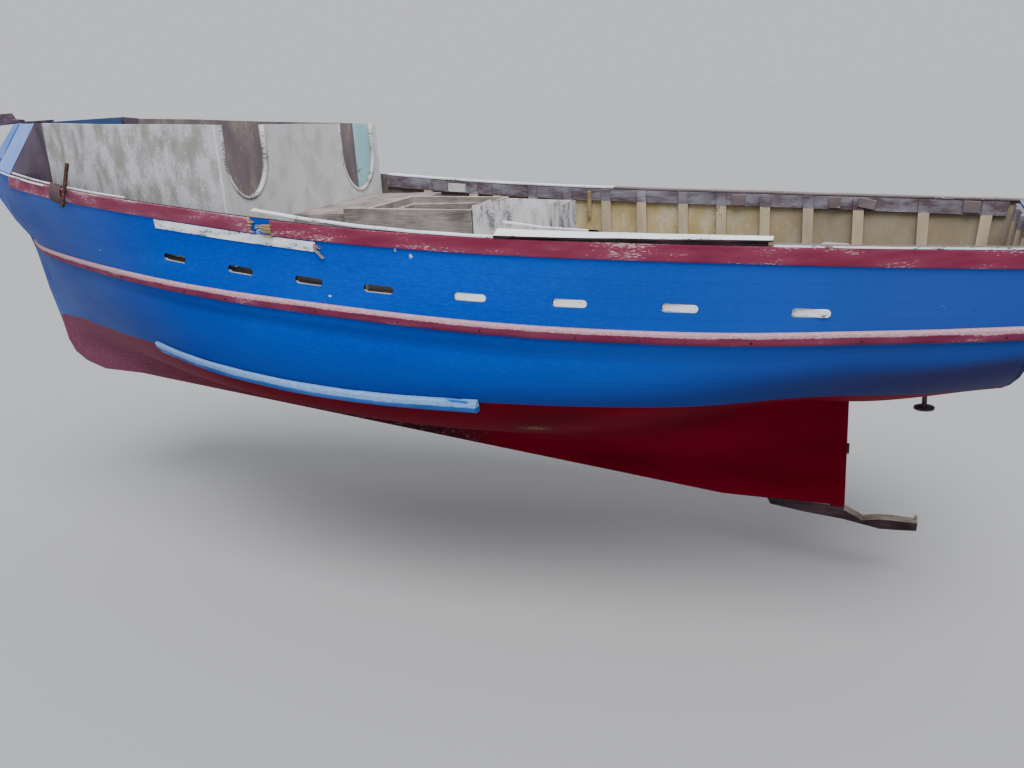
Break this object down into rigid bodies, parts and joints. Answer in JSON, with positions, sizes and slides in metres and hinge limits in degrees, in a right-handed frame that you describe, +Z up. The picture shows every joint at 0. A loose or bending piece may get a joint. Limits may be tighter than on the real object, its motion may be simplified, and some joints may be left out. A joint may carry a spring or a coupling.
{
  "type": "fishing trawler",
  "caption": "Stripped wooden fishing trawler with a planked hull, long keel, raked stem, roofless forecastle, open hatch, bulwarks and a bare rudder stock.",
  "frame": {"origin": "amidships on the centreline, at the height of the load waterline", "axes": "+X forward to the bow, +Y to port, +Z up"},
  "size_m": [15.6874, 4.8034, 5.825],
  "materials": {
    "blue_paint": "worn blue gloss paint on planks",
    "bottom_paint": "dark red bottom paint",
    "crimson_paint": "faded crimson paint",
    "strake_paint": "crimson paint worn to pale wood",
    "rail_paint": "chalky light blue paint",
    "white_paint": "chipped white paint",
    "frame_timber": "weathered ochre paint",
    "deck_timber": "bare weathered deck planks",
    "coaming_timber": "bare weathered timber",
    "grey_paint": "flaking grey-beige paint",
    "teal_paint": "teal paint",
    "brown_timber": "dark brown stained timber",
    "bare_timber": "dark wet split timber",
    "rusted_iron": "rusted"
  },
  "bodies": {
    "boat": {"hull": "blue_paint", "keel": "bottom_paint", "stern_post": "bottom_paint", "stern_tube": "rusted_iron", "heel_timber": "bare_timber", "topside_port": "blue_paint", "topside_starboard": "blue_paint", "freeing_port_shutter_1": "white_paint", "freeing_port_shutter_2": "white_paint", "freeing_port_shutter_3": "white_paint", "freeing_port_shutter_4": "white_paint", "freeing_port_shutter_5": "frame_timber", "freeing_port_shutter_6": "frame_timber", "freeing_port_shutter_7": "frame_timber", "stem": "blue_paint", "gunwale_strake_port_fore": "crimson_paint", "gunwale_strake_port_aft": "crimson_paint", "gunwale_strake_starboard": "crimson_paint", "rub_strake_port": "strake_paint", "rub_strake_starboard": "strake_paint", "bilge_rail_port": "rail_paint", "bilge_rail_starboard": "rail_paint", "name_board_port": "white_paint", "name_board_starboard": "white_paint", "cap_board_port_fore": "white_paint", "cap_board_port_middle": "white_paint", "cap_board_port_aft": "white_paint", "cap_board_starboard_fore": "white_paint", "cap_board_starboard_aft": "white_paint", "bulwark_frames_port": "frame_timber", "bulwark_frames_starboard": "frame_timber", "main_deck": "deck_timber", "forecastle_sole": "deck_timber", "hatch_coaming": "coaming_timber", "engine_casing": "grey_paint", "hatch_step": "coaming_timber", "forecastle_side_port": "grey_paint", "forecastle_side_starboard": "grey_paint", "forecastle_lining_aft": "teal_paint", "forecastle_lining_fore": "brown_timber", "forecastle_bulkhead": "grey_paint", "bow_bulwark_port": "blue_paint", "bow_bulwark_starboard": "blue_paint", "forecastle_break_port": "brown_timber", "forecastle_break_starboard": "brown_timber", "transom": "blue_paint", "rub_strake_stern": "strake_paint", "gunwale_strake_stern": "crimson_paint", "cap_board_stern": "white_paint", "bulwark_frames_stern": "frame_timber", "rudder_stock_collar": "rusted_iron", "stem_head_fitting": "rusted_iron", "gunwale_pin_port": "rusted_iron"},
    "stock": {"rudder_stock": "rusted_iron"}
  },
  "joints": [
    {"name": "rudder_turn", "type": "hinge", "parent": "boat", "child": "stock", "pos_m": [-6.79, 0, 0.3], "axis": [0, 0, 1], "range_deg": [-35, 35]}
  ]
}
